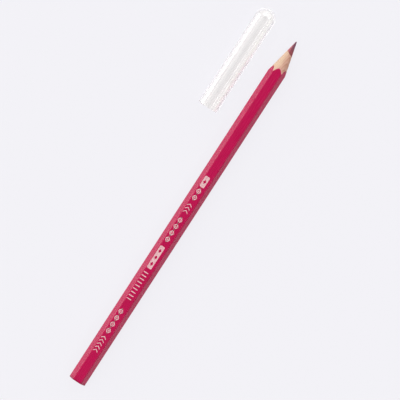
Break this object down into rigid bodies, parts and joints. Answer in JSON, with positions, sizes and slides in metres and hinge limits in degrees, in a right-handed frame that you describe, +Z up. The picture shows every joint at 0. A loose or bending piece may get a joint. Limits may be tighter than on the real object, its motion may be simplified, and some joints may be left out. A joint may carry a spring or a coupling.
{
  "type": "transfer pencil with cap",
  "caption": "Sharpened hexagonal wood-cased transfer pencil with crimson lacquer, lying beside its clear round push-on cap.",
  "frame": {"origin": "on the table, on the flat that the pencil lies on, under mid-length of the pencil's axis", "axes": "+X along the pencil from its butt to its point, +Y across the table to the side where the cap lies, +Z up"},
  "size_m": [0.1816, 0.0259, 0.0094],
  "materials": {
    "transfer_lead": "waxy pressed pigment, dull sheen",
    "casing_wood": "bare basswood, cut by a sharpener",
    "crimson_lacquer": "glossy dipped lacquer",
    "clear_plastic": "clear moulded plastic, polished"
  },
  "bodies": {
    "pencil": {"lead_core": "transfer_lead", "upper_slat": "casing_wood", "lower_slat": "casing_wood", "lacquer_coat": "crimson_lacquer"},
    "cap": {"clear_cap": "clear_plastic"}
  },
  "joints": [
    {"name": "cap_slide", "type": "slide", "parent": "pencil", "child": "cap", "axis": [0.9741, -0.2255, -0.0159], "range_m": [0, 0.07648]}
  ]
}
